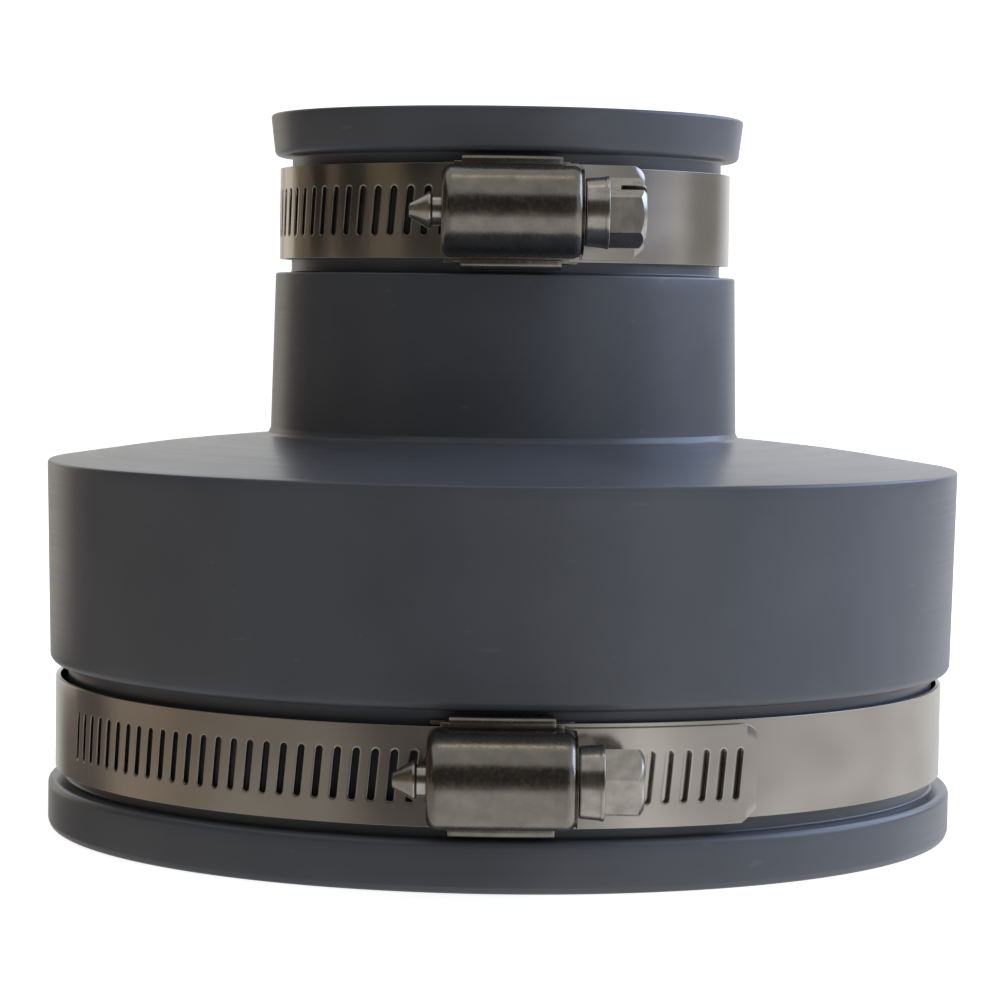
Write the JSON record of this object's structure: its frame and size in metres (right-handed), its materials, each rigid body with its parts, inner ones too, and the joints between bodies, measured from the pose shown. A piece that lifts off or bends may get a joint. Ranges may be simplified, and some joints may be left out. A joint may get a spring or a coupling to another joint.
{
  "type": "reducing coupling",
  "caption": "Moulded elastomeric sleeve that steps from a wide pipe socket down to a narrow one, held by a worm-drive clamp in a groove at each end.",
  "frame": {"origin": "centre of the large mouth, on the sleeve's axis, at its lower face", "axes": "+Z along the sleeve's axis from the large socket to the small one; the clamp housings are on the -Y side with their screws' hexagons towards +X"},
  "size_m": [0.1286, 0.1378, 0.1],
  "materials": {
    "sleeve_pvc": "satin moulded elastomeric PVC, dark grey",
    "rolled_strip": "rolled stainless strip, satin",
    "pressed_steel": "pressed and tumbled stainless",
    "turned_screw": "turned and rolled stainless, bright"
  },
  "bodies": {
    "sleeve": {"sleeve": "sleeve_pvc"},
    "large_clamp": {"large_clamp_housing": "pressed_steel", "large_clamp_saddle": "pressed_steel"},
    "large_band": {"large_clamp_band": "rolled_strip"},
    "large_screw": {"large_clamp_screw": "turned_screw"},
    "small_clamp": {"small_clamp_housing": "pressed_steel", "small_clamp_saddle": "pressed_steel"},
    "small_band": {"small_clamp_band": "rolled_strip"},
    "small_screw": {"small_clamp_screw": "turned_screw"}
  },
  "joints": [
    {"name": "large_clamp_turn", "type": "hinge", "parent": "sleeve", "child": "large_clamp", "pos_m": [0, 0, 0.01485], "axis": [0, 0, 1], "continuous": true},
    {"name": "large_screw_turn", "type": "hinge", "parent": "large_clamp", "child": "large_screw", "pos_m": [0.00041, -0.0674, 0.01485], "axis": [-1, -0.0061, 0], "range_deg": [-1080, 1080]},
    {"name": "large_band_feed", "type": "hinge", "parent": "large_clamp", "child": "large_band", "pos_m": [0, 0, 0.01485], "axis": [0, 0, 1], "range_deg": [-6.9, 6.9]},
    {"name": "small_clamp_turn", "type": "hinge", "parent": "sleeve", "child": "small_clamp", "pos_m": [0, 0, 0.08595], "axis": [0, 0, 1], "continuous": true},
    {"name": "small_screw_turn", "type": "hinge", "parent": "small_clamp", "child": "small_screw", "pos_m": [0.0008, -0.03649, 0.08595], "axis": [-0.9998, -0.0218, 0], "range_deg": [-1080, 1080]},
    {"name": "small_band_feed", "type": "hinge", "parent": "small_clamp", "child": "small_band", "pos_m": [0, 0, 0.08595], "axis": [0, 0, 1], "range_deg": [-13.5, 13.5]}
  ],
  "couplings": [
    {"joint": "large_band_feed", "follows": "large_screw_turn", "ratio": 0.006323},
    {"joint": "small_band_feed", "follows": "small_screw_turn", "ratio": 0.012424}
  ]
}
